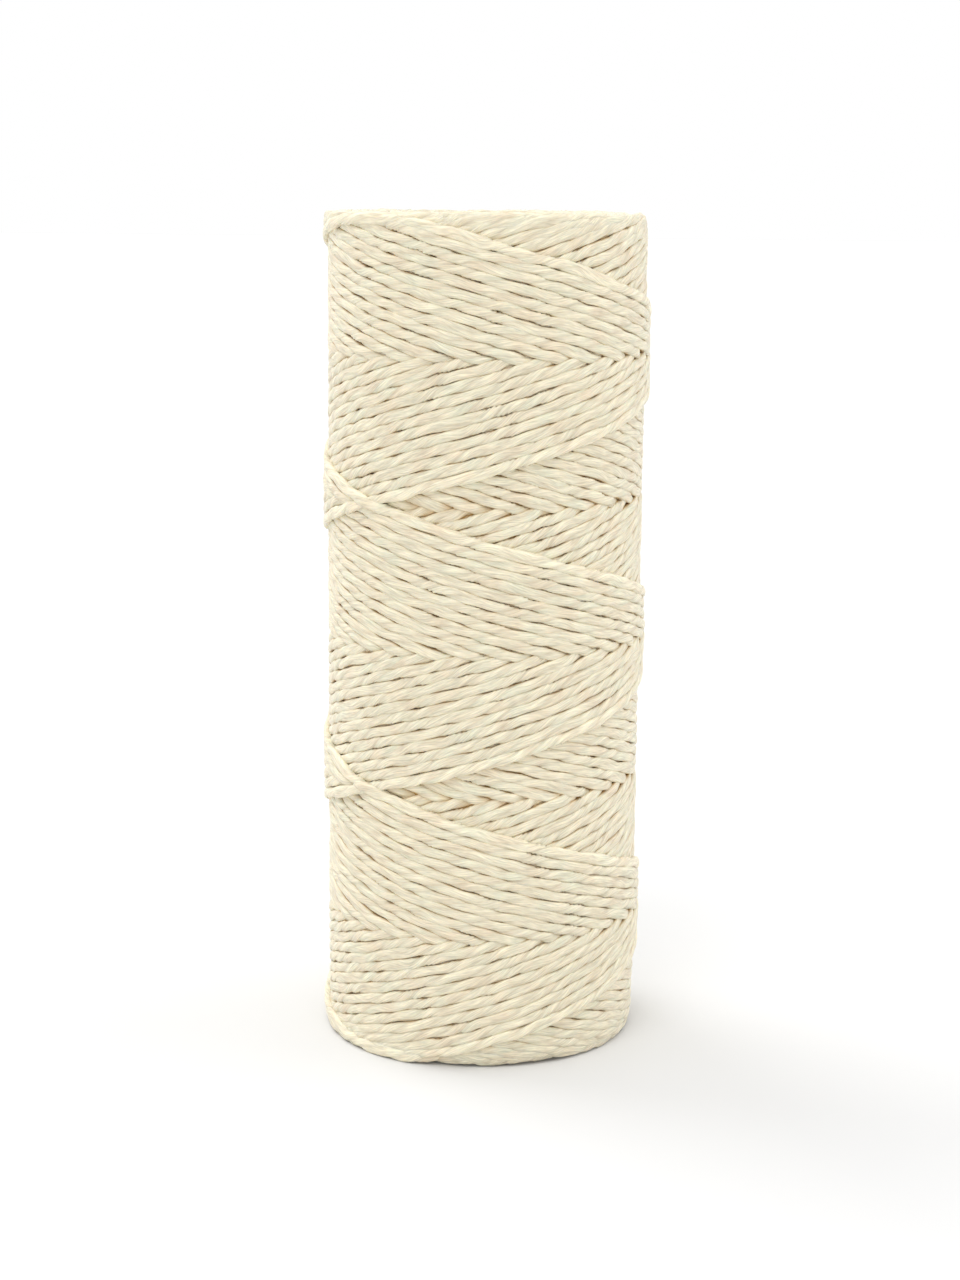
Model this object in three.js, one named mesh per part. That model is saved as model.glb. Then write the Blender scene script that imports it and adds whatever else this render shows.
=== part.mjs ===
// A roll of waxed thread, wound crosswise on a paper tube and standing on end.
// Millimetres. +Z is the roll's axis, and the floor is z = 0.
//
// The thread crosses the roll from rim to rim in open helices. Each stroke takes a few turns,
// rounds off at the rim and comes back, always going round the same way. The strokes that run
// down lie over the ones that run up.
import * as THREE from "three";

// Driving dimensions: the roll
const rollDiameter = 26;
const rollLength = 66.5;
const shoulderRadius = 1.2; // rounding at the rims of the buried layers

// Driving dimensions: the paper tube
const tubeOutsideDiameter = 13;
const tubeWall = 1.5;
const tubeEdgeRadius = 0.35; // the cut ends are a little worn

// Driving dimensions: the thread
const threadWidth = 0.8;
const threadThickness = 0.4; // it lies flattened
const turnsPerStroke = 3; // from rim to rim, less the share that spreads the strokes evenly
const turnBackAngle = 40; // degrees to each side of a turn back at the rim
const frontTurnBack = -135; // degrees round the roll to the turn back at the front of the top rim

// Driving dimensions: the outer layer
const strandPairs = 4; // down strands and up strands that share the surface
const crossingGap = 0.43; // air between a down strand and the up strand under it
const lyingClearance = 0.3; // air under the up strands, and round the tube
const endSetBack = 60; // degrees that the thread's two ends stop short of their turn back

// Resolution
const loopSteps = 24;
const lathePieces = 72;
const arcPieces = 4;

const fullTurn = 2 * Math.PI;
const radians = (degrees) => THREE.MathUtils.degToRad(degrees);

// Sizes that follow from the ones above
const rollRadius = rollDiameter / 2;
const tubeRadius = tubeOutsideDiameter / 2;
const stepAngle = fullTurn / loopSteps;
const chordFactor = Math.cos(stepAngle / 2); // a chord's middle lies this share of its radius out
const downRadius = rollRadius - threadThickness / 2;
const upRadius = downRadius - threadThickness - crossingGap;
const buriedRadius = (upRadius - threadThickness / 2) * chordFactor - lyingClearance;

// Each pair of strokes stops one share of a turn short, so that the pairs spread evenly round.
const strokes = 2 * strandPairs;
const strokeAngle = (turnsPerStroke - 1 / strokes) * fullTurn;
const turnBackHalf = radians(turnBackAngle);
const strokeClimb = (rollLength - threadWidth) / (strokeAngle - turnBackHalf); // per radian

const materials = {
  paper: new THREE.MeshStandardMaterial({ color: 0xcbb594, roughness: 0.9, metalness: 0 }),
  buriedThread: new THREE.MeshStandardMaterial({ color: 0xd8ccac, roughness: 0.7, metalness: 0 }),
  thread: new THREE.MeshStandardMaterial({ color: 0xf0e8cf, roughness: 0.5, metalness: 0 }),
};

// A closed ring profile, lathed about Z: a rectangle from inner to outer radius and bottom to
// top, with its four corners rounded by their own radii.
function turnedRing(innerRadius, outerRadius, height, innerRounding, outerRounding) {
  const corners = [
    { radius: innerRadius, level: 0, rounding: innerRounding, side: 1, end: 1, from: Math.PI },
    { radius: outerRadius, level: 0, rounding: outerRounding, side: -1, end: 1, from: -Math.PI / 2 },
    { radius: outerRadius, level: height, rounding: outerRounding, side: -1, end: -1, from: 0 },
    { radius: innerRadius, level: height, rounding: innerRounding, side: 1, end: -1, from: Math.PI / 2 },
  ];
  const profile = [];
  for (const corner of corners) {
    const centreRadius = corner.radius + corner.side * corner.rounding;
    const centreLevel = corner.level + corner.end * corner.rounding;
    for (let piece = 0; piece <= arcPieces; piece += 1) {
      const angle = corner.from + (piece / arcPieces) * (Math.PI / 2);
      const radius = centreRadius + corner.rounding * Math.cos(angle);
      const level = centreLevel + corner.rounding * Math.sin(angle);
      profile.push(new THREE.Vector2(radius, level));
    }
  }
  profile.push(profile[0].clone());
  return new THREE.LatheGeometry(profile, lathePieces).rotateX(Math.PI / 2);
}

// Height of the thread's centre above the floor, after an angle counted along the thread from a
// turn back at the top. A parabola joins the straight helices at each turn back.
function threadHeight(angle) {
  const sinceTop = THREE.MathUtils.euclideanModulo(angle, 2 * strokeAngle);
  const fromTop = Math.min(sinceTop, 2 * strokeAngle - sinceTop);
  const fromBottom = strokeAngle - fromTop;
  const near = Math.min(fromTop, fromBottom);
  const rounded = near < turnBackHalf ? near ** 2 / (2 * turnBackHalf) : near - turnBackHalf / 2;
  const fromRim = threadWidth / 2 + strokeClimb * rounded;
  return fromTop < fromBottom ? rollLength - fromRim : fromRim;
}

// Radius of the thread's centre: out on a down stroke, in on an up stroke, and easing from one
// to the other along each turn back.
function threadRadius(angle) {
  const sinceTop = THREE.MathUtils.euclideanModulo(angle + turnBackHalf, 2 * strokeAngle) - turnBackHalf;
  const outAgain = THREE.MathUtils.smoothstep(sinceTop, -turnBackHalf, turnBackHalf);
  const inAgain = THREE.MathUtils.smoothstep(sinceTop - strokeAngle, -turnBackHalf, turnBackHalf);
  return THREE.MathUtils.lerp(upRadius, downRadius, outAgain - inAgain);
}

// The thread's two ends lie at the back, opposite the front turn back.
function threadPoint(angle) {
  const around = angle + radians(frontTurnBack) + Math.PI;
  const radius = threadRadius(angle);
  return new THREE.Vector3(radius * Math.cos(around), radius * Math.sin(around), threadHeight(angle));
}

// The flattened six-sided section of the thread, as points across its width and its thickness.
function threadSection() {
  const section = [];
  for (let corner = 0; corner < 6; corner += 1) {
    const angle = (corner * Math.PI) / 3;
    const across = (threadWidth / 2) * Math.cos(angle);
    const outward = (threadThickness / 2) * (Math.sin(angle) / Math.sin(Math.PI / 3));
    section.push({ across, outward });
  }
  return section;
}

// Rings of section points along the thread, the flat of the section lying on the roll.
function threadRings() {
  const firstAngle = radians(endSetBack);
  const lastAngle = strokes * strokeAngle - radians(endSetBack);
  const steps = Math.round((lastAngle - firstAngle) / stepAngle);
  const section = threadSection();
  const rings = [];
  for (let step = 0; step <= steps; step += 1) {
    const angle = firstAngle + (step / steps) * (lastAngle - firstAngle);
    const centre = threadPoint(angle);
    const ahead = threadPoint(angle + stepAngle / 2).sub(threadPoint(angle - stepAngle / 2));
    const outward = new THREE.Vector3(centre.x, centre.y, 0).normalize();
    const across = new THREE.Vector3().crossVectors(outward, ahead).normalize();
    const ring = section.map((point) =>
      centre.clone().addScaledVector(across, point.across).addScaledVector(outward, point.outward));
    rings.push(ring);
  }
  return rings;
}

// One closed body: side faces between the rings, and a flat cap at each end.
function threadGeometry(rings) {
  const sides = rings[0].length;
  const positions = rings.flat().flatMap((point) => point.toArray());
  const faces = [];
  for (let ring = 0; ring + 1 < rings.length; ring += 1) {
    for (let side = 0; side < sides; side += 1) {
      const next = (side + 1) % sides;
      const here = ring * sides;
      const there = here + sides;
      faces.push(here + side, here + next, there + next);
      faces.push(here + side, there + next, there + side);
    }
  }
  const last = (rings.length - 1) * sides;
  for (let side = 1; side + 1 < sides; side += 1) {
    faces.push(0, side + 1, side);
    faces.push(last, last + side, last + side + 1);
  }
  const geometry = new THREE.BufferGeometry();
  geometry.setAttribute("position", new THREE.Float32BufferAttribute(positions, 3));
  geometry.setIndex(faces);
  geometry.computeVertexNormals();
  return geometry;
}

// The least distance between stretches of the thread that are more than half a turn apart,
// measured between points spread along the edges of the tube.
function leastGapToItself(rings) {
  const pointsPerStep = 14;
  const cellSize = 1;
  const farApart = loopSteps / 2;
  const cells = new Map();
  const cellKey = (point, dx, dy, dz) =>
    [point.x, point.y, point.z].map((value, axis) => Math.floor(value / cellSize) + [dx, dy, dz][axis]).join();
  let least = cellSize;
  for (let ring = 0; ring + 1 < rings.length; ring += 1) {
    rings[ring].forEach((start, side) => {
      for (let part = 0; part < pointsPerStep; part += 1) {
        const point = start.clone().lerp(rings[ring + 1][side], part / pointsPerStep);
        for (const dx of [-1, 0, 1]) {
          for (const dy of [-1, 0, 1]) {
            for (const dz of [-1, 0, 1]) {
              for (const other of cells.get(cellKey(point, dx, dy, dz)) ?? []) {
                if (ring - other.ring > farApart) {
                  least = Math.min(least, point.distanceTo(other.point));
                }
              }
            }
          }
        }
        const home = cellKey(point, 0, 0, 0);
        if (!cells.has(home)) {
          cells.set(home, []);
        }
        cells.get(home).push({ point, ring });
      }
    });
  }
  return least;
}

function namedMesh(name, geometry, material) {
  const mesh = new THREE.Mesh(geometry, material);
  mesh.name = name;
  return mesh;
}

function coreTube() {
  const bore = tubeRadius - tubeWall;
  const geometry = turnedRing(bore, tubeRadius, rollLength, tubeEdgeRadius, tubeEdgeRadius);
  return namedMesh("core_tube", geometry, materials.paper);
}

function innerWinding() {
  const bore = tubeRadius + lyingClearance;
  const geometry = turnedRing(bore, buriedRadius, rollLength, tubeEdgeRadius, shoulderRadius);
  return namedMesh("inner_winding", geometry, materials.buriedThread);
}

function outerWinding() {
  const rings = threadRings();
  const turns = (rings.length - 1) / loopSteps;
  const gap = leastGapToItself(rings);
  console.log(`outer winding: ${turns.toFixed(1)} loops, least gap to itself ${gap.toFixed(3)} mm`);
  return namedMesh("outer_winding", threadGeometry(rings), materials.thread);
}

const group = new THREE.Group();
group.add(coreTube());
group.add(innerWinding());
group.add(outerWinding());

export default group;
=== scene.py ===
import math
from functools import partial

import bmesh
import bpy
from mathutils import Matrix, Vector, noise


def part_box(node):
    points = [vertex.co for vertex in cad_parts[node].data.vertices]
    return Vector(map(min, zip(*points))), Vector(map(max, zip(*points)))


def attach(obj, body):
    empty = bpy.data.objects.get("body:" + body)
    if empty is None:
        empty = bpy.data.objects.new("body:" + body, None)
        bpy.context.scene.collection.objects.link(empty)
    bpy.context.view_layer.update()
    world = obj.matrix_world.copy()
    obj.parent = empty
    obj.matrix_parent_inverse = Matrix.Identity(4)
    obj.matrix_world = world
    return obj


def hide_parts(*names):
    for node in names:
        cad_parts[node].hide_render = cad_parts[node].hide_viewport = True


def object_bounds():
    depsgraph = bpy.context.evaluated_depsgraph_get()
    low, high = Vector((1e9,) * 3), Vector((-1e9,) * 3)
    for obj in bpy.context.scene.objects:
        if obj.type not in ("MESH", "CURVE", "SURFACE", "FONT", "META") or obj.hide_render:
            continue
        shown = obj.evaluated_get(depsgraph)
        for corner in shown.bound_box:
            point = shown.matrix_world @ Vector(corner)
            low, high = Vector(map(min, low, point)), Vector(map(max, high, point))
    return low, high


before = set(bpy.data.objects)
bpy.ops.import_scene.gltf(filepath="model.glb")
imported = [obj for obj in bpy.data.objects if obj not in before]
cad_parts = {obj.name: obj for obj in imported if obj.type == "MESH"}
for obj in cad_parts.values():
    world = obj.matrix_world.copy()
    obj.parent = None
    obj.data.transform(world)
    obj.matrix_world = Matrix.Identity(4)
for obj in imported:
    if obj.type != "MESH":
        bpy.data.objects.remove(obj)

# A roll of waxed thread, wound crosswise on a paper tube and standing on end. The sizes that a
# user may change are in mm and degrees, and the scene is in metres.
cadLow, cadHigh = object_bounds()
mm = 0.001
fullTurn = 2 * math.pi
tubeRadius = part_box("core_tube")[1][0]  # m
print("frame loaded, box", [round(v / mm, 2) for v in (*cadLow, *cadHigh)], "mm")

# the nodes used most, and a map range that starts and ends gently
maths = "ShaderNodeMath"
vectorMaths = "ShaderNodeVectorMath"
mapRange = "ShaderNodeMapRange"
noiseTexture = "ShaderNodeTexNoise"
eased = {"interpolation_type": "SMOOTHSTEP"}
noiseRange = (0.3, 0.7)  # nearly all values of a noise lie between these


def addNode(tree, kind, inputs=(), **settings):
    # inputs are nodes, sockets or values, listed in the order of the node's sockets or by socket
    node = tree.nodes.new(kind)
    for name, value in settings.items():
        setattr(node, name, value)
    if not isinstance(inputs, dict):
        inputs = dict(enumerate(inputs))
    for socket, source in inputs.items():
        if isinstance(source, bpy.types.Node):
            source = source.outputs[0]
        if isinstance(source, bpy.types.NodeSocket):
            tree.links.new(source, node.inputs[socket])
        else:
            node.inputs[socket].default_value = source
    return node


def hexColour(code):
    channels = [int(code[i:i + 2], 16) / 255 for i in (1, 3, 5)]
    linear = [c / 12.92 if c <= 0.04045 else ((c + 0.055) / 1.055) ** 2.4 for c in channels]
    return (*linear, 1.0)


def newMaterial(name):
    # the material, and addNode for its tree
    material = bpy.data.materials.new(name)
    material.use_nodes = True
    material.node_tree.nodes.clear()
    return material, partial(addNode, material.node_tree)


def newGroup(name, inputs, outputs):
    # the tree, addNode for it, and its inputs; the sockets' names are listed by kind
    tree = bpy.data.node_groups.new(name, "GeometryNodeTree")
    for direction, sockets in (("INPUT", inputs), ("OUTPUT", outputs)):
        for kind, names in sockets.items():
            for socket in names:
                tree.interface.new_socket(
                    socket, in_out=direction, socket_type="NodeSocket" + kind)
    add = partial(addNode, tree)
    return tree, add, add("NodeGroupInput").outputs


def addObject(name, data, material=None):
    thing = bpy.data.objects.new(name, data)
    bpy.context.scene.collection.objects.link(thing)
    if material:
        data.materials.clear()
        data.materials.append(material)
    return thing


waxedThread = {
    "warm": "#E6D8BD",       # stretches that took up more wax
    "light": "#EBE2C8",      # undyed polyester under a thin coat of wax
    "cool": "#E6E2C9",       # drier stretches
    "toneStops": {"warm": 0.34, "light": 0.5, "cool": 0.66},  # where on the noise each tone lies
    "toneLength": 3.0,       # mm of strand over which the tone drifts
    "girth": 2.4,            # mm round a strand
    "free": 0.2,             # crevice tone below zero on strands that lie free, for a painted highlight
    "freeHighlight": 1.07,        # brightness of the painted highlight on those strands
    "crestHighlight": 1.03,       # brightness of the painted highlight on a ply's crest
    "grooveShade": 0.95,      # and of the painted shade where two plies meet
    "crestWidth": 0.25,      # share of a ply's width that the crest takes
    "crevice": "#BC903E",    # wax between the strands, and painted shade there
    "creviceTones": (0.2, 1.0),  # crevice tones at which that colour starts and is fullest
    "creviceMost": 0.9,      # most of that colour
    "grooveWidth": 0.16,     # share of a ply's width that the line between two plies takes
    "grooveDepth": (0.14, 0.05),  # of the crevice colour in that line, where it shows and fades
    "grooveBreaks": (0.4, 0.62),  # on the bundles' noise, from showing to faded
    "bundle": (2.6, 0.26),   # mm, length and width of a bundle of filaments
    "bundleTones": (0.85, 1.07),
    "fibre": (1.2, 0.1),     # a few filaments, drawn coarser than the real 0.02 so that they show
    "fibreTones": (0.79, 1.13),
    "fibreLean": 12.0,       # degrees from the ply's own line
    "relief": 0.035,         # mm, height of the filaments
    "roughness": (0.4, 0.56),
    "sheen": (0.1, 0.4),     # its weight and roughness
    "glow": (0.2, 0.2),      # share of light that goes into the wax, and mm that it spreads
    "glowTint": (1.0, 0.7, 0.4),  # how far red, green and blue spread, as shares of that
    "refraction": 1.45,
}


def waxedPolyester():
    # Undyed polyester filament, twisted and drawn through wax: a soft, broad sheen along each
    # strand, fine lengthwise streaks and a browner tone of wax and painted shade down in the
    # crevices, with painted highlights on the ply crests and on the strands that lie free.
    s = waxedThread
    material, add = newMaterial("waxedPolyesterThread")
    along = add("ShaderNodeUVMap", uv_map="threadUV")
    spot = add("ShaderNodeSeparateXYZ", [along]).outputs  # X along, Y round the strand
    # painted shade between the strands, from the geometry, and below zero for a painted highlight
    crevice = add("ShaderNodeAttribute", attribute_name="crevice").outputs["Fac"]

    # which of the two plies, and how far from its crest: the map starts on a crest, and a ply is
    # half of the way round
    roundShare = add(maths, [spot["Y"], 1 / s["girth"], 0.25], operation="MULTIPLY_ADD")
    fromGroove = add(maths, [roundShare], operation="FRACT")
    plies = add(maths, [fromGroove, 2.0], operation="MULTIPLY")
    ply = add(maths, [plies], operation="FLOOR")
    plyShare = add(maths, [plies], operation="FRACT")
    toSides = add(maths, [plyShare, 2.0, -1.0], operation="MULTIPLY_ADD")
    fromCrest = add(maths, [toSides], operation="ABSOLUTE")

    # tone that drifts along each ply
    plyJump = 41.0  # far enough across the noises that the two plies look unlike
    plyPlace = add(maths, [ply, plyJump], operation="MULTIPLY")
    tonePlace = add(maths, [spot["X"], 1 / s["toneLength"]], operation="MULTIPLY")
    toneSpot = add("ShaderNodeCombineXYZ", [tonePlace, plyPlace])
    tone = add(noiseTexture, {"Vector": toneSpot, "Scale": 1.0, "Detail": 2.0})
    toneRamp = add("ShaderNodeValToRGB", [tone])
    toneRamp.color_ramp.elements.new(0.5)
    for stop, (name, place) in zip(toneRamp.color_ramp.elements, s["toneStops"].items()):
        stop.position = place
        stop.color = hexColour(s[name])

    # filaments at two sizes, leaning a little across the ply
    plyMm = add(maths, [plies, 0.5 * s["girth"]], operation="MULTIPLY")
    fibreSpot = add("ShaderNodeCombineXYZ", [spot["X"], plyMm, plyPlace])
    lean = (0.0, 0.0, math.radians(s["fibreLean"]))
    streaks, streakTones = [], []
    for size in ("bundle", "fibre"):
        laid = add("ShaderNodeMapping", {
            0: fibreSpot, "Rotation": lean, "Scale": (*s[size], 1.0)}, vector_type="TEXTURE")
        streak = add(noiseTexture, {"Vector": laid, "Scale": 1.0, "Detail": 2.0, "Roughness": 0.6})
        streaks.append(streak)
        streakTones.append(add(mapRange, [streak, *noiseRange, *s[size + "Tones"]]))
    bundles, fibres = streaks
    fibreShade = add(maths, streakTones, operation="MULTIPLY")
    # painted highlight on the crest of each ply, falling to painted shade where two plies meet
    crestHighlight = add(mapRange, [
        fromCrest, s["crestWidth"], 1.0, s["crestHighlight"], s["grooveShade"]], **eased)
    crestShade = add(maths, [fibreShade, crestHighlight], operation="MULTIPLY")
    # painted highlight on the last pair of strands, which lie free on top
    freeHighlight = add(mapRange, [crevice, -s["free"], 0.0, s["freeHighlight"], 1.0])
    shade = add(maths, [crestShade, freeHighlight], operation="MULTIPLY")
    shaded = add("ShaderNodeMix", {0: 1.0, 6: toneRamp, 7: shade}, data_type="RGBA",
                 blend_type="MULTIPLY")

    # wax and shadow between the plies, broken along its line, and between the strands
    brokenLine = add(mapRange, [bundles, *s["grooveBreaks"], *s["grooveDepth"]])
    groove = add(mapRange, [fromCrest, 1 - s["grooveWidth"], 1.0, 0.0, brokenLine])
    # painted shade deep in the crevices, mixed in with the wax colour
    depth = add(mapRange, [crevice, *s["creviceTones"], 0.0, s["creviceMost"]])
    waxAndShade = add(maths, [groove, depth], operation="MAXIMUM")
    coloured = add("ShaderNodeMix", {
        0: waxAndShade, 6: shaded.outputs[2], 7: hexColour(s["crevice"])}, data_type="RGBA")

    relief = add(maths, [bundles, 2.0, fibres], operation="MULTIPLY_ADD")
    bump = add("ShaderNodeBump", {"Strength": 0.8, "Distance": s["relief"] * mm, "Height": relief})
    dull = add(mapRange, [tone, *noiseRange, *s["roughness"]])
    sheen, sheenRoughness = s["sheen"]
    glow, glowReach = s["glow"]
    shader = add("ShaderNodeBsdfPrincipled", {
        "Base Color": coloured.outputs[2], "Roughness": dull, "Normal": bump,
        "IOR": s["refraction"], "Sheen Weight": sheen, "Sheen Roughness": sheenRoughness,
        "Subsurface Weight": glow, "Subsurface Radius": s["glowTint"],
        "Subsurface Scale": glowReach * mm})
    add("ShaderNodeOutputMaterial", [shader])
    return material


threadMaterial = waxedPolyester()
print("thread material ready")

winding = {
    "rollRadius": 13.0,      # mm, over the newest strand
    "rollLength": 66.5,      # mm, rim to rim
    "strandWidth": 0.82,     # mm, from one strand to the next
    "layer": 0.4,            # mm that one layer adds to the radius
    "strands": 26,           # side by side across one pitch
    "turns": 3,              # round the roll in one stroke, and a 52nd of a turn more
    "turnBackTop": 31.0,     # degrees to each side of a turn back at the upper rim
    "turnBackBottom": 49.0,
    "newestTurnBack": -135.0,  # degrees round the roll from +X, of the newest at the upper rim
    "changeOver": 0.7,       # share of a turn back over which a strand passes to its next layer
    "dip": 0.9,              # mm over which a strand dives under the one that crosses it
    "shoulderDrop": 0.12,    # mm that the rims round inwards
    "shoulderHeight": 1.6,
    "wander": 0.38,          # mm that a strand strays sideways
    "wanderRate": 2.6,       # swings in a radian
    "heave": 0.16,           # mm that a strand rides high or low
    "heaveRate": 1.7,
    "rimSlide": 0.22,        # mm that a strand slides up towards the upper rim before it turns back
    "slideFrom": -85.0,      # degrees past the turn back at which it starts to slide
    "slideMost": -40.0,      # and at which it has slid furthest
    "rimScatter": 0.3,       # mm by which some turn backs stop short of the rim
    "scatterReach": (15.0, 70.0),  # degrees from the turn back over which that fades out
    "tail": 34.0,            # degrees that the end runs on past its last turn back
    "tuck": 0.8,             # mm that the end is tucked in under its neighbours
    "tuckOver": 24.0,        # degrees over which it goes under
    "early": 40.0,           # degrees of older thread drawn before the oldest stroke that shows
    "bedded": 0.85,          # share of its half thickness that a strand's middle lies off the tube
    "seed": 11.0,
    "heaveSeed": 500.0,
    "step": 0.4,             # mm from ring to ring
    "sides": 16,             # round a strand
    "pieces": 6,             # to keep each of them under 200,000 triangles
    "overlap": 1.0,          # mm that a piece runs on into the next, to close to a point inside it
}

strand = {
    "halfWidth": 0.505,      # mm, section of the pressed thread
    "halfThick": 0.32,
    "squareness": 2.6,       # 2 for an ellipse, more for a squarer section
    "gathered": 0.4,         # 0 for columns spread evenly across its flat, 1 for more at its edges
    "plyApart": 0.42,        # from its middle to a ply's, as a share of its half width
    "topGroove": 0.12,       # depth of the groove between the plies, as a share of the section
    "sideGroove": 0.2,
    "lay": 5.4,              # mm for one full twist of the plies
    "uneven": 1.1,           # turns by which the twist runs ahead or behind
    "unevenRate": 0.16,      # swings in a mm
    "swell": (0.94, 1.05),   # times its usual thickness, at its thinnest and thickest
    "swellNoise": (0.25, 0.75),  # its noise at these
    "swellRate": 0.45,
    "swellSeed": 80.0,
}

# Painted shade: how deep in a crevice a point is, from 0 in the open to 1, and below zero for a
# painted highlight where strands lie free. Depths are in mm below the newest strand.
crevices = {
    "sideFrom": (0.8, 0.1),  # heights on a strand, 1 at its crest, from open to closed in
    "sideDepths": (0.1, 0.45),  # between which a closed-in side goes from its least tone to full
    "sideLeast": 0.5,
    "newest": 0.8,           # share of that tone that the last pair of strands does without
    "deepDepths": (0.5, 0.95),  # between which whole strands darken
    "deep": 0.65,            # most painted shade of a whole strand
    "rimDepths": (0.6, 1.6),  # mm from a rim between which that comes in
    "openDepth": 0.65,       # mm from a rim at which all painted crevice shade is full
    "openFrom": 0.25,        # share of that at which they start
}

# inputs of the node groups, in metres and radians
pathInputs = {
    "Roll Radius": winding["rollRadius"] * mm,
    "Roll Length": winding["rollLength"] * mm,
    "Strand Width": winding["strandWidth"] * mm,
    "Layer": winding["layer"] * mm,
    "Strands": float(winding["strands"]),
    "Turns": float(winding["turns"]),
    "Turn Back Top": math.radians(winding["turnBackTop"]),
    "Turn Back Bottom": math.radians(winding["turnBackBottom"]),
    "Newest Turn Back": math.radians(winding["newestTurnBack"]),
    "Dip": winding["dip"] * mm,
    "Shoulder Drop": winding["shoulderDrop"] * mm,
    "Shoulder Height": winding["shoulderHeight"] * mm,
    "Wander": winding["wander"] * mm,
    "Heave": winding["heave"] * mm,
    "Rim Slide": winding["rimSlide"] * mm,
    "Rim Scatter": winding["rimScatter"] * mm,
    "Rim Clearance": strand["halfWidth"] * mm,
    "Tail": math.radians(winding["tail"]),
    "Tuck": winding["tuck"] * mm,
    "Tuck Over": math.radians(winding["tuckOver"]),
    "Seed": winding["seed"],
    "Least Radius": tubeRadius + winding["bedded"] * strand["halfThick"] * mm,
}

skinInputs = {
    "First Turn Back": 0.0,
    "Turn Back Step": 0.0,
    "Lead In": 0.0,          # radians before the turn back
    "Span": 1.0,             # radians
    "Taper": 1.0,            # share of the span over which an end closes
    "Half Width": strand["halfWidth"] * mm,
    "Half Thick": strand["halfThick"] * mm,
    "Squareness": strand["squareness"],
    "Top Groove": strand["topGroove"],
    "Side Groove": strand["sideGroove"],
    "Lay": strand["lay"] * mm,
    "Uneven": strand["uneven"],
    "Deep": crevices["deep"],
    "Open Depth": crevices["openDepth"] * mm,
    "Spiral": 0.0,           # m that half a radian of a spiral draws in by
}


def strokeSizes(add, given):
    # the share of a turn that a stroke goes beyond whole ones, and the angle that it covers
    extraTurn = add(maths, [0.5, given["Strands"]], operation="DIVIDE")
    strokeTurns = add(maths, [given["Turns"], extraTurn], operation="ADD")
    return extraTurn, add(maths, [strokeTurns, fullTurn], operation="MULTIPLY")


def driftAlong(add, place, rate, seed, detail):
    # a value that drifts between 0 and 1 along the thread
    spot = add(maths, [place, rate, seed], operation="MULTIPLY_ADD")
    return add(noiseTexture, {"W": spot, "Scale": 1.0, "Detail": detail}, noise_dimensions="1D")


def sawtoothGroup():
    # Share of a layer that a strand has sunk since it was last on top. It climbs steadily back
    # and dives over a short stretch, where the next strand crosses over it.
    tree, add, given = newGroup(
        "sinkUnderCrossing", {"Float": ["Phase", "Dive"]}, {"Float": ["Sunk"]})
    share = add(maths, [given["Phase"]], operation="FRACT")
    fromEnd = add(maths, [1.0, share], operation="SUBTRACT")
    lift = add(mapRange, [share, 0.0, given["Dive"], 0.5, 0.0], **eased)
    drop = add(mapRange, [fromEnd, 0.0, given["Dive"], 0.5, 0.0], **eased)
    lifted = add(maths, [share, lift], operation="ADD")
    sunk = add(maths, [lifted, drop], operation="SUBTRACT")
    add("NodeGroupOutput", [sunk])
    return tree


def nearestTurnBack(add, given, stroke):
    # its number, the angle past it, whether it is at the upper rim, and the angle it rounds over
    strokes = add(maths, [given["Angle"], stroke], operation="DIVIDE")
    turnBack = add(maths, [strokes], operation="ROUND")
    turnBackAngle = add(maths, [turnBack, stroke], operation="MULTIPLY")
    past = add(maths, [given["Angle"], turnBackAngle], operation="SUBTRACT")
    odd = add(maths, [turnBack, 2.0], operation="FLOORED_MODULO")
    atTop = add(maths, [1.0, odd], operation="SUBTRACT")
    rounding = add("ShaderNodeMix", {
        0: atTop, 2: given["Turn Back Bottom"], 3: given["Turn Back Top"]})
    return turnBack, past, atTop, rounding


def riseFromRim(add, given, nearest, lead):
    # height that the thread has gained from its rim: straight helices, joined by a parabola
    turnBack, past, atTop, rounding = nearest
    away = add(maths, [past], operation="ABSOLUTE")
    within = add(maths, [away, rounding], operation="MINIMUM")
    beyond = add(maths, [away, within], operation="SUBTRACT")
    square = add(maths, [within, within], operation="MULTIPLY")
    twice = add(maths, [rounding, 2.0], operation="MULTIPLY")
    bend = add(maths, [square, twice], operation="DIVIDE")
    climbed = add(maths, [bend, beyond], operation="ADD")
    evenRise = add(maths, [climbed, lead], operation="MULTIPLY")

    # the slide up to the upper rim, and the turn backs that stop short
    slideFrom, slideMost = math.radians(winding["slideFrom"]), math.radians(winding["slideMost"])
    sliding = add(mapRange, [past, slideFrom, slideMost], **eased)
    settled = add(mapRange, [past, slideMost, 0.0], **eased)
    slid = add(maths, [sliding, settled], operation="SUBTRACT")
    slidTop = add(maths, [slid, atTop], operation="MULTIPLY")
    slide = add(maths, [slidTop, given["Rim Slide"]], operation="MULTIPLY")
    slidRise = add(maths, [evenRise, slide], operation="SUBTRACT")
    near, far = (math.radians(reach) for reach in winding["scatterReach"])
    chance = add("ShaderNodeTexWhiteNoise", {"W": turnBack}, noise_dimensions="1D")
    nearRim = add(mapRange, [away, near, far, 1.0, 0.0], **eased)
    scatterShare = add(maths, [chance, nearRim], operation="MULTIPLY")
    return add(maths, [scatterShare, given["Rim Scatter"], slidRise], operation="MULTIPLY_ADD")


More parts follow.
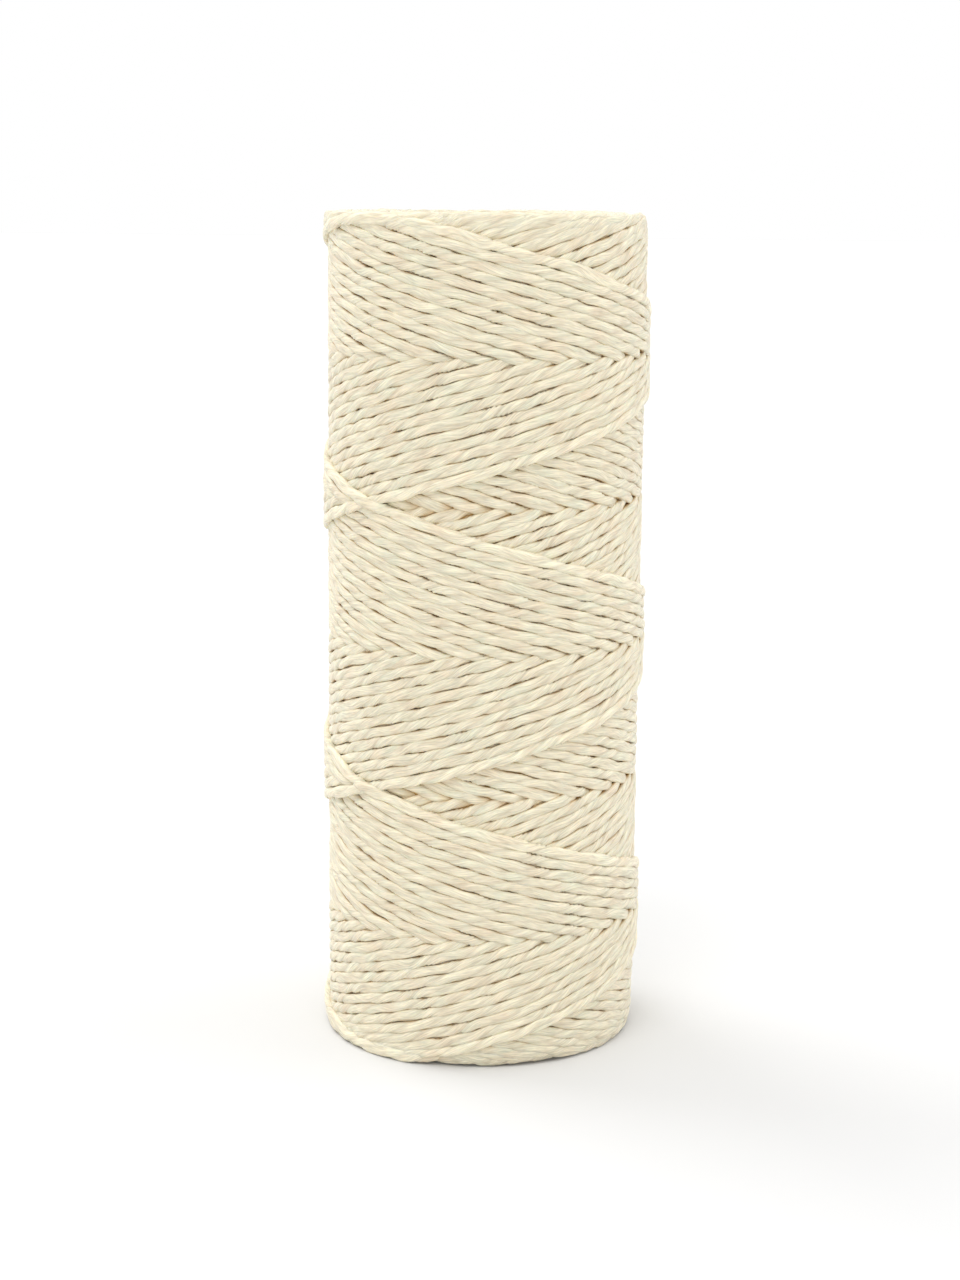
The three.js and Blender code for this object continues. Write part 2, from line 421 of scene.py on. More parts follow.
def layersSunk(add, given, sawtooth, nearest, extraTurn, pitch, height):
    # one layer down for each layer wound since, counted from the lines of the newest strands
    turnBack, past, atTop, rounding = nearest
    topLevel = add(maths, [given["Strand Width"], -0.5, given["Roll Length"]],
                   operation="MULTIPLY_ADD")
    topTurns = add(maths, [topLevel, pitch], operation="DIVIDE")
    newestLine = add(maths, [given["Turn Back Top"], 0.5 / fullTurn, topTurns],
                     operation="MULTIPLY_ADD")
    heightTurns = add(maths, [height, pitch], operation="DIVIDE")
    below = add(maths, [heightTurns, newestLine], operation="SUBTRACT")
    side = add(maths, [atTop, 2.0, -1.0], operation="MULTIPLY_ADD")
    slant = add(maths, [side, below], operation="MULTIPLY")
    turnsRound = add(maths, [given["Angle"], 1 / fullTurn], operation="MULTIPLY")
    diveAngle = add(maths, [given["Dip"], given["Roll Radius"]], operation="DIVIDE")
    dive = add(maths, [diveAngle, 1 / math.pi], operation="MULTIPLY")
    sunk = []
    for sign in (-1.0, 1.0):  # on the stroke before the turn back, and on the one after it
        slanted = add(maths, [slant, sign], operation="MULTIPLY")
        phase = add(maths, [slanted, turnsRound], operation="SUBTRACT")
        shift = add(maths, [atTop, sign, turnBack], operation="MULTIPLY_ADD")
        shifted = add(maths, [shift, extraTurn, phase], operation="MULTIPLY_ADD")
        crossing = add("GeometryNodeGroup", {"Phase": shifted, "Dive": dive}, node_tree=sawtooth)
        strokeCount = add(maths, [turnBack, -2.0, -sign], operation="MULTIPLY_ADD")
        sunk.append(add(maths, [strokeCount, extraTurn, crossing], operation="MULTIPLY_ADD"))
    change = winding["changeOver"]
    easeFrom = add(maths, [rounding, -change], operation="MULTIPLY")
    easeTo = add(maths, [rounding, change], operation="MULTIPLY")
    turned = add(mapRange, [past, easeFrom, easeTo], **eased)
    return add("ShaderNodeMix", {0: turned, 2: sunk[0], 3: sunk[1]})


def threadPathGroup(sawtooth):
    # Centre of the thread after an angle round the roll. Angle 0 is the newest turn back at the
    # upper rim, older thread has negative angles, and each stroke is a layer over what it crosses.
    tree, add, given = newGroup(
        "threadPath", {"Float": ["Angle", *pathInputs]}, {"Vector": ["Centre"]})
    extraTurn, stroke = strokeSizes(add, given)

    # rise in a radian, and in a turn
    dwell = add(maths, [given["Turn Back Top"], given["Turn Back Bottom"]], operation="ADD")
    dwellHalf = add(maths, [dwell, 0.5], operation="MULTIPLY")
    climbing = add(maths, [stroke, dwellHalf], operation="SUBTRACT")
    travel = add(maths, [given["Roll Length"], given["Strand Width"]], operation="SUBTRACT")
    lead = add(maths, [travel, climbing], operation="DIVIDE")
    pitch = add(maths, [lead, fullTurn], operation="MULTIPLY")

    # height: the rise, the sideways wander, and the rim that holds both
    nearest = nearestTurnBack(add, given, stroke)
    atTop = nearest[2]
    rise = riseFromRim(add, given, nearest, lead)
    stray = driftAlong(add, given["Angle"], winding["wanderRate"], given["Seed"], 4.0)
    strayShare = add(maths, [stray, 0.5], operation="SUBTRACT")
    strayed = add(maths, [strayShare, given["Wander"], rise], operation="MULTIPLY_ADD")
    fromRimFree = add(maths, [given["Strand Width"], 0.5, strayed], operation="MULTIPLY_ADD")
    fromRim = add(maths, [fromRimFree, given["Rim Clearance"]], operation="MAXIMUM")
    fromTop = add(maths, [given["Roll Length"], fromRim], operation="SUBTRACT")
    height = add("ShaderNodeMix", {0: atTop, 2: fromRim, 3: fromTop})

    # radius: the layers, the heave, the rounded rims and the tucked end
    layersDown = layersSunk(add, given, sawtooth, nearest, extraTurn, pitch, height)
    layersDownHalf = add(maths, [layersDown, 0.5], operation="ADD")
    sink = add(maths, [layersDownHalf, given["Layer"]], operation="MULTIPLY")
    heave = driftAlong(add, given["Angle"], winding["heaveRate"], winding["heaveSeed"], 1.0)
    heaveShare = add(maths, [heave, 0.5], operation="SUBTRACT")
    heavedSink = add(maths, [heaveShare, given["Heave"], sink], operation="MULTIPLY_ADD")
    shoulder = add(mapRange, [
        rise, 0.0, given["Shoulder Height"], given["Shoulder Drop"], 0.0], **eased)
    shouldered = add(maths, [heavedSink, shoulder], operation="ADD")
    threadEnd = add(maths, [stroke, given["Tail"]], operation="ADD")
    tuckStart = add(maths, [threadEnd, given["Tuck Over"]], operation="SUBTRACT")
    tucked = add(mapRange, [given["Angle"], tuckStart, threadEnd, 0.0, given["Tuck"]], **eased)
    inward = add(maths, [shouldered, tucked], operation="ADD")
    freeRadius = add(maths, [given["Roll Radius"], inward], operation="SUBTRACT")
    radius = add(maths, [freeRadius, given["Least Radius"]], operation="MAXIMUM")

    around = add(maths, [given["Angle"], given["Newest Turn Back"]], operation="ADD")
    cosine = add(maths, [around], operation="COSINE")
    sine = add(maths, [around], operation="SINE")
    x = add(maths, [cosine, radius], operation="MULTIPLY")
    y = add(maths, [sine, radius], operation="MULTIPLY")
    centre = add("ShaderNodeCombineXYZ", [x, y, height])
    add("NodeGroupOutput", [centre])
    return tree


def runGrids(add, given):
    # one flat grid for each run, which keeps the run's number
    columns = add(maths, [given["Sides"], 1.0], operation="ADD")
    grid = add("GeometryNodeMeshGrid", {
        "Size X": 1.0, "Size Y": 1.0, "Vertices X": given["Rings"], "Vertices Y": columns})
    points = add("GeometryNodePoints", {"Count": given["Runs"]})
    onPoints = add("GeometryNodeInstanceOnPoints", {"Points": points, "Instance": grid})
    number = add("GeometryNodeInputIndex")
    numbered = add("GeometryNodeStoreNamedAttribute", {
        "Geometry": onPoints, "Name": "run", "Value": number}, data_type="FLOAT", domain="INSTANCE")
    return add("GeometryNodeRealizeInstances", [numbered])


def plyOutline(add, roundShare):
    # how far the outline of two touching rounds draws in: 0 at a ply's crest, 1 at the groove
    plyApart = strand["plyApart"]
    plyRound = 1 - plyApart
    plyGroove = math.sqrt(plyRound ** 2 - plyApart ** 2)
    plyAngle = add(maths, [roundShare, fullTurn], operation="MULTIPLY")
    plyCosine = add(maths, [plyAngle], operation="COSINE")
    plySine = add(maths, [plyAngle], operation="SINE")
    plySide = add(maths, [plyCosine], operation="ABSOLUTE")
    plyOut = add(maths, [plySide, plyApart], operation="MULTIPLY")
    plyAcross = add(maths, [plySine, plyApart], operation="MULTIPLY")
    acrossSquare = add(maths, [plyAcross, 2.0], operation="POWER")
    reachSquare = add(maths, [plyRound ** 2, acrossSquare], operation="SUBTRACT")
    plyReach = add(maths, [reachSquare, 0.5], operation="POWER")
    outline = add(maths, [plyOut, plyReach], operation="ADD")
    return add(mapRange, [outline, 1.0, plyGroove, 0.0, 1.0])


def strandSection(add, given, share, roundShare, length):
    # Two plies that turn about each other, each column of the grid staying on its own ply. Returns
    # how far a point lies across the strand and outward on it, and the second as a share.
    sway = driftAlong(add, length, strand["unevenRate"] / mm, given["Seed"], 1.0)
    twists = add(maths, [length, given["Lay"]], operation="DIVIDE")
    twisted = add(maths, [sway, given["Uneven"], twists], operation="MULTIPLY_ADD")
    twistShare = add(maths, [twisted], operation="FRACT")
    leftOver = add(maths, [roundShare, twistShare], operation="SUBTRACT")
    sectionAngle = add(maths, [leftOver, fullTurn], operation="MULTIPLY")
    cosine = add(maths, [sectionAngle], operation="COSINE")
    sine = add(maths, [sectionAngle], operation="SINE")

    # size: the groove between the plies, thick and thin stretches, and ends that close to a point
    drawnIn = plyOutline(add, roundShare)
    sineSquare = add(maths, [sine, 2.0], operation="POWER")
    grooveDepth = add("ShaderNodeMix", {
        0: sineSquare, 2: given["Side Groove"], 3: given["Top Groove"]})
    dented = add(maths, [drawnIn, grooveDepth], operation="MULTIPLY")
    fullness = add(maths, [1.0, dented], operation="SUBTRACT")
    swell = driftAlong(add, length, strand["swellRate"] / mm, strand["swellSeed"], 2.0)
    swelling = add(mapRange, [swell, *strand["swellNoise"], *strand["swell"]])
    startTaper = add(mapRange, [share, 0.0, given["Taper"]], **eased)
    shareLeft = add(maths, [1.0, share], operation="SUBTRACT")
    endTaper = add(mapRange, [shareLeft, 0.0, given["Taper"]], **eased)
    tapers = add(maths, [startTaper, endTaper], operation="MULTIPLY")
    swollen = add(maths, [fullness, swelling], operation="MULTIPLY")
    scale = add(maths, [swollen, tapers], operation="MULTIPLY")

    # shape: squarer than an ellipse, with columns that cross its flat at a steadier rate
    folded = add(maths, [sectionAngle, math.pi], operation="PINGPONG")
    steady = add(maths, [folded, -2 / math.pi, 1.0], operation="MULTIPLY_ADD")
    sideways = add("ShaderNodeMix", {0: strand["gathered"], 2: steady, 3: cosine})
    sideSize = add(maths, [sideways], operation="ABSOLUTE")
    sidePower = add(maths, [sideSize, given["Squareness"]], operation="POWER")
    heightPower = add(maths, [1.0, sidePower], operation="SUBTRACT")
    root = add(maths, [1.0, given["Squareness"]], operation="DIVIDE")
    heightSize = add(maths, [heightPower, root], operation="POWER")
    upOrDown = add(maths, [sine], operation="SIGN")
    upwards = add(maths, [heightSize, upOrDown], operation="MULTIPLY")
    reaches = []
    for part, size in ((sideways, "Half Width"), (upwards, "Half Thick")):
        sized = add(maths, [part, given[size]], operation="MULTIPLY")
        reaches.append(add(maths, [sized, scale], operation="MULTIPLY"))
    proud = add(maths, [upwards, fullness], operation="MULTIPLY")
    return *reaches, proud


def creviceShadeTone(add, given, skin, proud, lastPair):
    # painted shade: the darker of two tones, for the sides of strands and for whole ones that lie
    # deep
    s = crevices
    flatSkin = add(vectorMaths, [skin, (1.0, 1.0, 0.0)], operation="MULTIPLY")
    radius = add(vectorMaths, [flatSkin], operation="LENGTH").outputs["Value"]
    sunkBy = add(maths, [given["Roll Radius"], radius], operation="SUBTRACT")

    # painted shade on the sides of the strands, which their neighbours close in
    onSide = add(mapRange, [proud, *s["sideFrom"], 0.0, 1.0])
    sideDepths = [depth * mm for depth in s["sideDepths"]]
    closeness = add(mapRange, [sunkBy, *sideDepths, s["sideLeast"], 1.0])
    held = add(maths, [lastPair, -s["newest"], 1.0], operation="MULTIPLY_ADD")
    closedIn = add(maths, [closeness, held], operation="MULTIPLY")
    sideShade = add(maths, [onSide, closedIn], operation="MULTIPLY")

    # painted shade on whole strands that lie deep, away from the rims
    deepDepths = [depth * mm for depth in s["deepDepths"]]
    sunkShade = add(mapRange, [sunkBy, *deepDepths, 0.0, given["Deep"]])
    height = add("ShaderNodeSeparateXYZ", [skin]).outputs["Z"]
    fromTopRim = add(maths, [given["Roll Length"], height], operation="SUBTRACT")
    fromRim = add(maths, [fromTopRim, height], operation="MINIMUM")
    offRim = add(mapRange, [fromRim, *(depth * mm for depth in s["rimDepths"])])
    deepShade = add(maths, [sunkShade, offRim], operation="MULTIPLY")
    shade = add(maths, [sideShade, deepShade], operation="MAXIMUM")

    # no painted shade at the rims, and below zero, for a painted highlight, where the strands lie
    # free
    openFrom = add(maths, [given["Open Depth"], s["openFrom"]], operation="MULTIPLY")
    belowRim = add(mapRange, [fromRim, openFrom, given["Open Depth"]])
    shaded = add(maths, [shade, belowRim], operation="MINIMUM")
    return add(maths, [lastPair, -waxedThread["free"], shaded], operation="MULTIPLY_ADD")


def exportMap(add, given, run, share, roundShare):
    # a second map for export: all the runs as one strip, cut into rows that fill a square
    endMargin, sideMargin = 0.005, 0.04  # shares of a row that stay empty at each end and side
    runPlace = add(maths, [run, share], operation="ADD")
    stripPlace = add(maths, [runPlace, given["Runs"]], operation="DIVIDE")
    rowPlace = add(maths, [stripPlace, given["Rows"]], operation="MULTIPLY")
    facePlace = add("GeometryNodeFieldOnDomain", [rowPlace], domain="FACE", data_type="FLOAT")
    row = add(maths, [facePlace], operation="FLOOR")
    inRow = add(maths, [rowPlace, row], operation="SUBTRACT")
    across = add(maths, [inRow, 2 * endMargin - 1, 1 - endMargin], operation="MULTIPLY_ADD")
    rowSpot = add(maths, [roundShare, 1 - 2 * sideMargin, sideMargin], operation="MULTIPLY_ADD")
    rowsUp = add(maths, [row, rowSpot], operation="ADD")
    up = add(maths, [rowsUp, given["Rows"]], operation="DIVIDE")
    return add("ShaderNodeCombineXYZ", [across, up])


def woundThreadTree(threadPath):
    # Skins runs of the thread: each run is a grid, rolled into a two-ply section round the path.
    tree, add, given = newGroup("woundThread", {
        "Int": ["Runs", "Rings", "Sides", "Rows"], "Material": ["Material"],
        "Float": [*skinInputs, *pathInputs]}, {"Geometry": ["Geometry"]})
    stroke = strokeSizes(add, given)[1]
    geometry = runGrids(add, given)

    # where each point of the grid lies along the thread, and round its section
    run = add("GeometryNodeInputNamedAttribute", {"Name": "run"}, data_type="FLOAT")
    place = add("GeometryNodeInputPosition")
    flat = add("ShaderNodeSeparateXYZ", [place]).outputs
    share = add(maths, [flat["X"], 0.5], operation="ADD")
    roundShare = add(maths, [flat["Y"], 0.5], operation="ADD")
    turnBack = add(maths, [run, given["Turn Back Step"], given["First Turn Back"]],
                   operation="MULTIPLY_ADD")
    runStart = add(maths, [turnBack, stroke, given["Lead In"]], operation="MULTIPLY_ADD")
    angle = add(maths, [share, given["Span"], runStart], operation="MULTIPLY_ADD")

    # length of thread so far. On the end faces it is counted along the spiral of the turn backs,
    # so that neighbours, which overlap, are twisted in step.
    wholeTurns = add(maths, [turnBack, given["Turns"]], operation="MULTIPLY")
    roundAngle = add(maths, [wholeTurns, -fullTurn, angle], operation="MULTIPLY_ADD")
    meanRadius = add(maths, [roundAngle, given["Spiral"], given["Roll Radius"]],
                     operation="MULTIPLY_ADD")
    length = add(maths, [roundAngle, meanRadius], operation="MULTIPLY")

    # centre and directions, from three points that lie close together on the path
    apart = 0.012  # radians
    onPath = []
    for offset in (-apart, 0.0, apart):
        shifted = add(maths, [angle, offset], operation="ADD")
        onPath.append(add("GeometryNodeGroup", {
            "Angle": shifted, **{name: given[name] for name in pathInputs}}, node_tree=threadPath))
    behind, centre, beyond = onPath
    ahead = add(vectorMaths, [beyond, behind], operation="SUBTRACT")
    flatCentre = add(vectorMaths, [centre, (1.0, 1.0, 0.0)], operation="MULTIPLY")
    outward = add(vectorMaths, [flatCentre], operation="NORMALIZE")
    acrossLong = add(vectorMaths, [outward, ahead], operation="CROSS_PRODUCT")
    across = add(vectorMaths, [acrossLong], operation="NORMALIZE")
    acrossBy, outwardBy, proud = strandSection(add, given, share, roundShare, length)
    parts = [add(vectorMaths, {0: direction, "Scale": by}, operation="SCALE")
             for direction, by in ((across, acrossBy), (outward, outwardBy))]
    offset = add(vectorMaths, parts, operation="ADD")
    skin = add(vectorMaths, [centre, offset], operation="ADD")

    # for the materials: lengths in mm, painted shade by how deep a point lies between the
    # strands, the export map
    lengthMm = add(maths, [length, 1 / mm], operation="MULTIPLY")
    girthMm = add(maths, [roundShare, waxedThread["girth"]], operation="MULTIPLY")
    threadUv = add("ShaderNodeCombineXYZ", [lengthMm, girthMm])
    # the last pair of strands, which get a painted highlight
    toLastPair = add(maths, [angle, stroke], operation="ADD")
    lastPair = add(maths, [toLastPair, 0.0], operation="GREATER_THAN")
    tone = creviceShadeTone(add, given, skin, proud, lastPair)
    square = exportMap(add, given, run, share, roundShare)
    for name, value, kind, domain in (("threadUV", threadUv, "FLOAT2", "CORNER"),
                                      ("crevice", tone, "FLOAT", "POINT"),
                                      ("OFBake", square, "FLOAT2", "CORNER")):
        geometry = add("GeometryNodeStoreNamedAttribute", {
            "Geometry": geometry, "Name": name, "Value": value}, data_type=kind, domain=domain)

    touching = 1e-7  # m, between points that become one
    rolled = add("GeometryNodeSetPosition", {"Geometry": geometry, "Position": skin})
    closed = add("GeometryNodeMergeByDistance", {"Geometry": rolled, "Distance": touching})
    outwards = add("GeometryNodeFlipFaces", {"Mesh": closed})
    smooth = add("GeometryNodeSetShadeSmooth", {"Geometry": outwards})
    realized = add("GeometryNodeRealizeInstances", {"Geometry": smooth})
    coloured = add("GeometryNodeSetMaterial", {"Geometry": realized, "Material": given["Material"]})
    add("NodeGroupOutput", [coloured])
    return tree


threadTree = woundThreadTree(threadPathGroup(sawtoothGroup()))


def windThread(name, runs, rings, sides, changes):
    # a piece of one or more runs of thread, with some of the tree's inputs changed
    seed = addObject(name + "Seed", bpy.data.meshes.new(name + "Seed"))
    modifier = seed.modifiers.new("winding", "NODES")
    modifier.node_group = threadTree
    rows = round(math.sqrt(runs * rings * winding["step"] / waxedThread["girth"]))
    values = {**skinInputs, **pathInputs, "Runs": runs, "Rings": rings, "Sides": sides,
              "Rows": rows, "Material": threadMaterial, **changes}
    for item in threadTree.interface.items_tree:
        if item.in_out == "INPUT":
            modifier[item.identifier] = values[item.name]
    evaluated = seed.evaluated_get(bpy.context.evaluated_depsgraph_get())
    mesh = bpy.data.meshes.new_from_object(evaluated)
    mesh.name = name
    bpy.data.objects.remove(seed)
    print(name, len(mesh.polygons), "faces")
    return addObject(name, mesh, threadMaterial)


def outerLayers():
    # every strand that shows, as one thread from its oldest stroke to its tucked end
    stroke = fullTurn * (winding["turns"] + 0.5 / winding["strands"])
    first = -(2 * winding["strands"] - 1) * stroke - math.radians(winding["early"])
    last = stroke + math.radians(winding["tail"])
    span = (last - first) / winding["pieces"]
    overlap = winding["overlap"] / winding["rollRadius"]
    climb = 3.6  # mm in a radian, near enough to count the rings by
    rings = round(span * math.hypot(winding["rollRadius"], climb) / winding["step"])
    pieces = []
    for number in range(winding["pieces"]):
        start = first + number * span - overlap
        length = span + 2 * overlap
        pieces.append(windThread(f"outerThread{number + 1}", 1, rings, winding["sides"], {
            "Lead In": start, "Span": length, "Taper": overlap / length}))
    return pieces


endFaces = {
    "reach": 42.0,           # degrees drawn to each side of a turn back
    "taper": 0.04,           # share of that over which an end closes
    "scatter": 0.6,          # mm by which some of them stop short of the rim
    "uneven": 0.4,           # turns by which their twist runs ahead or behind
    "openDepth": 1.8,        # mm from the rim at which the painted crevice shade is full
    "step": 0.42,            # mm from ring to ring
    "sides": 12,
}


def endTurns():
    # the turn backs of the buried layers, which show on the roll's end faces
    s = endFaces
    reach = math.radians(s["reach"])
    outer, inner = winding["rollRadius"], tubeRadius / mm
    layersDeep = (outer - inner - strand["halfThick"]) / winding["layer"]
    oldest = round(layersDeep / 2 * winding["strands"])
    count = oldest - winding["strands"] + 1
    meanRadius = (outer + inner) / 2
    rings = round(2 * reach * meanRadius / s["step"])
    pieces = []
    for name, first in (("topEndTurns", -2 * oldest), ("bottomEndTurns", -2 * oldest - 1)):
        pieces.append(windThread(name, count, rings, s["sides"], {
            "First Turn Back": float(first), "Turn Back Step": 2.0, "Lead In": -reach,
            "Span": 2 * reach, "Taper": s["taper"], "Deep": 0.0,
            "Open Depth": s["openDepth"] * mm, "Spiral": winding["layer"] / fullTurn * mm,
            "Rim Scatter": s["scatter"] * mm, "Uneven": s["uneven"]}))
    return pieces


outerPieces = outerLayers()
endPieces = endTurns()


def latheMesh(name, profile, segments):
    # a closed profile of radius and height in mm, turned about the roll's axis
    mesh = bpy.data.meshes.new(name)
    shape = bmesh.new()
    rings = []
    for radius, level in profile:
        ring = []
        for segment in range(segments):
            angle = fullTurn * segment / segments
            place = Vector((radius * math.cos(angle), radius * math.sin(angle), level)) * mm
            ring.append(shape.verts.new(place))
        rings.append(ring)
    for here, there in zip(rings, rings[1:] + rings[:1]):
        for segment in range(segments):
            following = (segment + 1) % segments
            shape.faces.new((here[segment], here[following], there[following], there[segment]))
    touching = 0.001 * mm
    bmesh.ops.remove_doubles(shape, verts=shape.verts, dist=touching)
    bmesh.ops.recalc_face_normals(shape, faces=shape.faces)
    for face in shape.faces:
        face.smooth = True
    shape.to_mesh(mesh)
    shape.free()
    return mesh


buried = {
    "radius": 12.0,          # mm, among the lowest strands that show
    "endDepth": 1.3,         # mm below the rims, under the turn backs
    "clearance": 0.02,       # mm round the tube
    "segments": 96,
}


def buriedThread():
    s = buried
    bore = tubeRadius / mm + s["clearance"]
    low, high = s["endDepth"], winding["rollLength"] - s["endDepth"]
    profile = [(bore, low), (s["radius"], low), (s["radius"], high), (bore, high)]
    mesh = latheMesh("buriedThread", profile, s["segments"])
    # painted shade: the crevice tone is set full all over the buried thread
    deep = mesh.attributes.new("crevice", "FLOAT", "POINT")
    deep.data.foreach_set("value", [1.0] * len(mesh.vertices))
    return addObject("buriedThread", mesh, threadMaterial)


buriedPiece = buriedThread()
for piece in (*outerPieces, *endPieces, buriedPiece):
    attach(piece, "root")
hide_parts("inner_winding")
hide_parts("inner_winding")
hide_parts("inner_winding")
for piece in outerPieces:
    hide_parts("outer_winding")
print("thread wound")

paperTube = {
    "fibre": "#9C8159",
    "paper": "#CBB591",      # recycled kraft board
    "pale": "#E2D3B6",
    "fleckStops": {"fibre": 0.3, "paper": 0.48, "pale": 0.7},  # where on the noise each tone lies
    "flecks": 3.0,           # in a mm
    "relief": 0.04,          # mm, height of the flecks
    "roughness": 0.88,
    "refraction": 1.45,
    "glue": "#8E744F",
    "glueLine": (0.02, 0.16),  # shares of a ply, from the line's full tone to its edge
    "glueMost": 0.7,         # most of the glue's colour
    "endDepth": 0.2,         # mm from a cut end down to which the glue lines show
    "rubDepth": 0.9,         # mm from a cut end down to which the board is rubbed pale
    "rubMost": 0.35,
    "wall": 1.5,             # mm
    "recess": 0.22,          # mm that its upper end lies below the rim
    "edge": 0.3,             # mm, rounding of the cut ends
    "plies": 4,              # strips of board that the wall is wound from
    "plyLine": 0.05,         # mm, depth of the line between two plies on a cut end
    "plyLineHalf": 0.06,     # mm, half its width
    "seamPitch": 31.0,       # mm that the innermost strip climbs in a turn
    "seamWidth": 0.3,
    "seamDepth": 0.12,
    "fray": 0.07,            # mm that the cut ends are uneven by
    "frayRate": 1.7,         # swings in a mm
    "ring": 0.4,             # mm between rings on the bore
    "segments": 160,
}
tubeBore = tubeRadius / mm - paperTube["wall"]
tubeLength = (cadHigh.z - cadLow.z) / mm - paperTube["recess"]


def spiralWoundBoard():
    # Recycled kraft board, wound in a spiral and glued: matt and flecked with fibre, with glue
    # lines between the plies on the cut ends and paler, rubbed edges.
    s = paperTube
    material, add = newMaterial("spiralWoundKraftBoard")
    place = add("ShaderNodeTexCoord").outputs["Object"]
    inMm = add("ShaderNodeMapping", {0: place, "Scale": (1 / mm, 1 / mm, 1 / mm)})
    fleck = add(noiseTexture, {
        "Vector": inMm, "Scale": s["flecks"], "Detail": 6.0, "Roughness": 0.7})
    ramp = add("ShaderNodeValToRGB", [fleck])
    ramp.color_ramp.elements.new(0.5)
    for stop, (name, spot) in zip(ramp.color_ramp.elements, s["fleckStops"].items()):
        stop.position = spot
        stop.color = hexColour(s[name])

    # glue lines on the cut ends
    parts = add("ShaderNodeSeparateXYZ", [inMm]).outputs
    flat = add("ShaderNodeCombineXYZ", [parts["X"], parts["Y"]])
    radius = add(vectorMaths, [flat], operation="LENGTH").outputs["Value"]
    fromBore = add(maths, [radius, tubeBore], operation="SUBTRACT")
    plyShare = add(maths, [fromBore, s["plies"] / s["wall"]], operation="MULTIPLY")
    toLine = add(maths, [plyShare, 1.0], operation="PINGPONG")
    glueLine = add(mapRange, [toLine, *s["glueLine"], s["glueMost"], 0.0])
    half = tubeLength / 2
    fromMiddle = add(maths, [parts["Z"], half], operation="SUBTRACT")
    outwards = add(maths, [fromMiddle], operation="ABSOLUTE")
    onEnd = add(maths, [outwards, half - s["endDepth"]], operation="GREATER_THAN")
    glueShare = add(maths, [glueLine, onEnd], operation="MULTIPLY")
    glued = add("ShaderNodeMix", {0: glueShare, 6: ramp, 7: hexColour(s["glue"])}, data_type="RGBA")
    rubbed = add(mapRange, [outwards, half - s["rubDepth"], half, 0.0, s["rubMost"]])
    worn = add("ShaderNodeMix", {0: rubbed, 6: glued.outputs[2], 7: hexColour(s["pale"])},
               data_type="RGBA")
    bump = add("ShaderNodeBump", {"Strength": 0.5, "Distance": s["relief"] * mm, "Height": fleck})
    shader = add("ShaderNodeBsdfPrincipled", {
        "Base Color": worn.outputs[2], "Roughness": s["roughness"], "Normal": bump,
        "IOR": s["refraction"]})
    add("ShaderNodeOutputMaterial", [shader])
    return material


def tubeProfile(outer):
    # the wall's section as radius and height in mm, from the foot of the bore round to it again
    s = paperTube
    edge, bore, length = s["edge"], tubeBore, tubeLength
    steps = (0, math.pi / 6, math.pi / 3, math.pi / 2)
    corner = [(1 - math.cos(angle), 1 - math.sin(angle)) for angle in steps]
    rings = round((length - 2 * edge) / s["ring"])
    profile = [(bore, edge + (length - 2 * edge) * i / rings) for i in range(rings)]
    top = [(bore + edge * out, length - edge * up) for out, up in corner]
    for ply in range(1, s["plies"]):
        middle = bore + (outer - bore) * ply / s["plies"]
        top += [(middle - s["plyLineHalf"], length), (middle, length - s["plyLine"]),
                (middle + s["plyLineHalf"], length)]
    top += [(outer - edge * out, length - edge * up) for out, up in reversed(corner)]
    profile += top
    profile += [(radius, length - height) for radius, height in reversed(top)]
    return profile


def paperTubePiece():
    s = paperTube
    onBore = 0.02  # mm, how near to the bore a point on it is
    mesh = latheMesh("paperTube", tubeProfile(tubeRadius / mm), s["segments"])
    for vertex in mesh.vertices:
        x, y, z = (value / mm for value in vertex.co)
        radius = math.hypot(x, y)
        turn = math.atan2(y, x) / fullTurn
        if radius < tubeBore + onBore:
            climb = (z / s["seamPitch"] - turn) % 1.0
            off = min(climb, 1.0 - climb) * s["seamPitch"]
            radius += s["seamDepth"] * math.exp(-(off / s["seamWidth"]) ** 2)
        fromEnd = min(z, tubeLength - z)
        if fromEnd < s["edge"]:
            fray = 0.5 + 0.5 * noise.noise(Vector((x * s["frayRate"], y * s["frayRate"], z)))
            inwards = s["fray"] * fray * (1 - fromEnd / s["edge"])
            z += inwards if z < tubeLength / 2 else -inwards
        angle = turn * fullTurn
        vertex.co = (radius * math.cos(angle) * mm, radius * math.sin(angle) * mm, z * mm)
    piece = addObject("paperTube", mesh, spiralWoundBoard())
    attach(piece, "root")
    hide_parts("core_tube")


paperTubePiece()
print("tube finished")

studio = {
    "floor": "#DEDEDE",
    "floorSize": 6.0,        # m
    "floorRoughness": 0.95,
    "floorGloss": 0.1,
    "world": 1.0,
    # strength in W per square metre, degrees that it spreads over, and where it shines from
    "lamps": {
        "key": (1.0, 36.0, (-0.7, 0.6, 1.0)),
        "front": (0.61, 26.0, (-0.3, -0.75, 1.45)),
        "fill": (0.45, 50.0, (0.9, 0.1, 0.7)),
    },
}


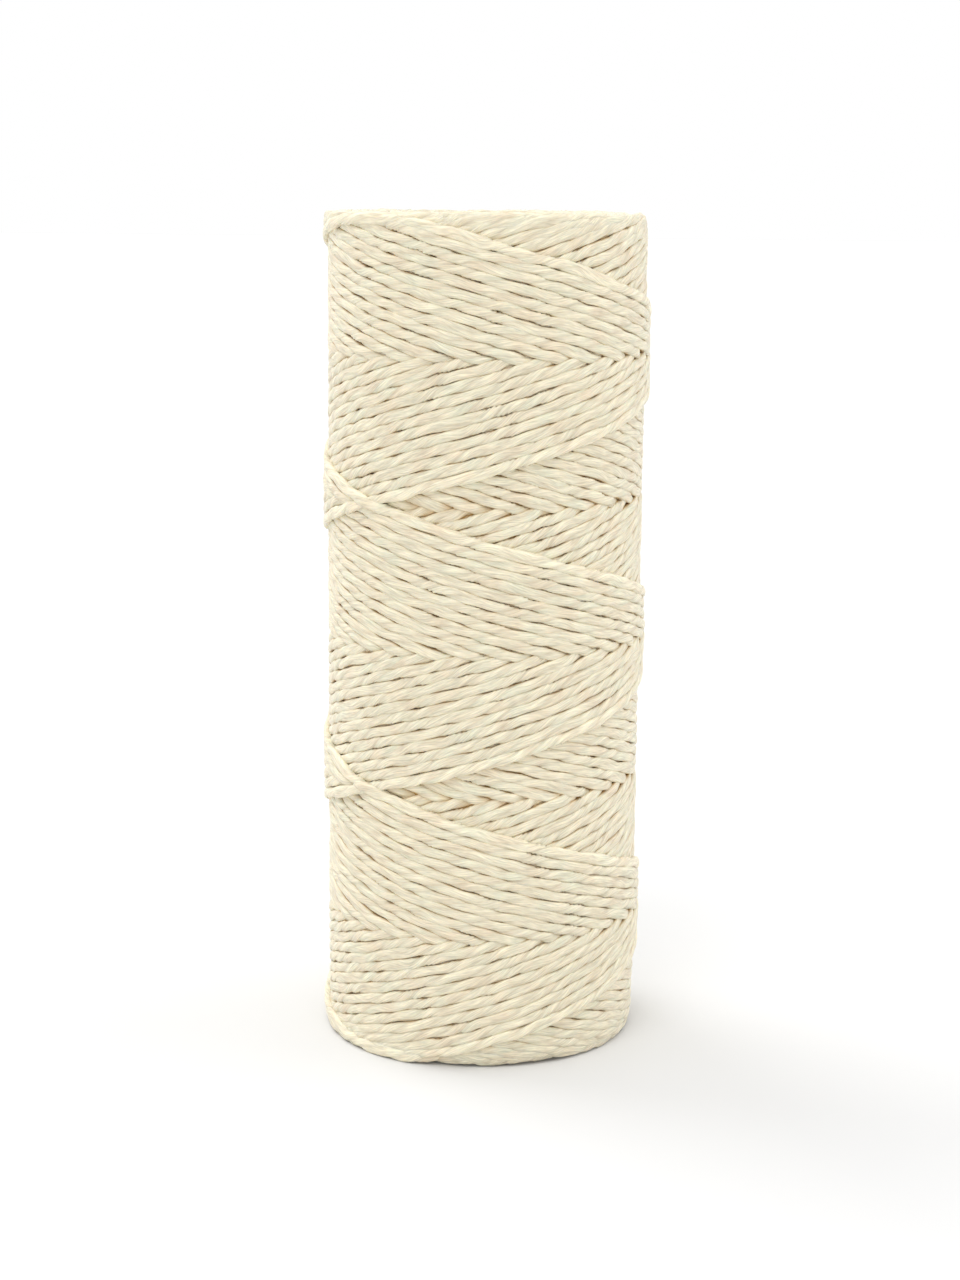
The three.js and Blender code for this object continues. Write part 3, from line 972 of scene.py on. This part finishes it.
def mattWhiteBoard():
    # Painted board, rolled on: even, white and without gloss.
    material = bpy.data.materials.new("mattWhiteBoard")
    material.use_nodes = True
    shader = material.node_tree.nodes["Principled BSDF"].inputs
    shader["Base Color"].default_value = hexColour(studio["floor"])
    shader["Roughness"].default_value = studio["floorRoughness"]
    shader["Specular IOR Level"].default_value = studio["floorGloss"]
    return material


def studioSet():
    half = studio["floorSize"] / 2
    corners = [(-half, -half, 0), (half, -half, 0), (half, half, 0), (-half, half, 0)]
    mesh = bpy.data.meshes.new("floor")
    mesh.from_pydata(corners, [], [(0, 1, 2, 3)])
    floor = addObject("floor", mesh, mattWhiteBoard())
    floor.location.z = cadLow.z
    world = bpy.data.worlds.new("softBox")
    world.use_nodes = True
    background = world.node_tree.nodes["Background"].inputs
    background["Color"].default_value = (1.0, 1.0, 1.0, 1.0)
    background["Strength"].default_value = studio["world"]
    bpy.context.scene.world = world
    for name, (strength, spread, source) in studio["lamps"].items():
        lamp = bpy.data.lights.new(name, "SUN")
        lamp.energy = strength
        lamp.angle = math.radians(spread)
        lampObject = addObject(name, lamp)
        lampObject.rotation_euler = Vector(source).to_track_quat("Z", "Y").to_euler()
    bpy.context.scene.view_settings.view_transform = "Standard"


studioSet()
print("studio ready")

view = {
    "focalPixels": 2360.6,   # at a picture height of 1280 pixels
    "pictureHeight": 1280,
    "place": (-0.32, -188.83, 68.35),  # mm from the middle of the roll's foot
    "tiltDown": 10.877,      # degrees
    "roll": 0.548,           # degrees that the picture leans
}


def photoCamera():
    lens = bpy.data.cameras.new("camera")
    lens.sensor_fit = "VERTICAL"
    lens.sensor_height = 36.0
    lens.lens = view["focalPixels"] / view["pictureHeight"] * lens.sensor_height
    lens.clip_start = 0.01
    camera = addObject("camera", lens)
    turn = Matrix.Rotation(math.radians(90 - view["tiltDown"]), 4, "X")
    turn = turn @ Matrix.Rotation(math.radians(view["roll"]), 4, "Z")
    camera.matrix_world = Matrix.Translation([v * mm for v in view["place"]]) @ turn
    bpy.context.scene.camera = camera


photoCamera()
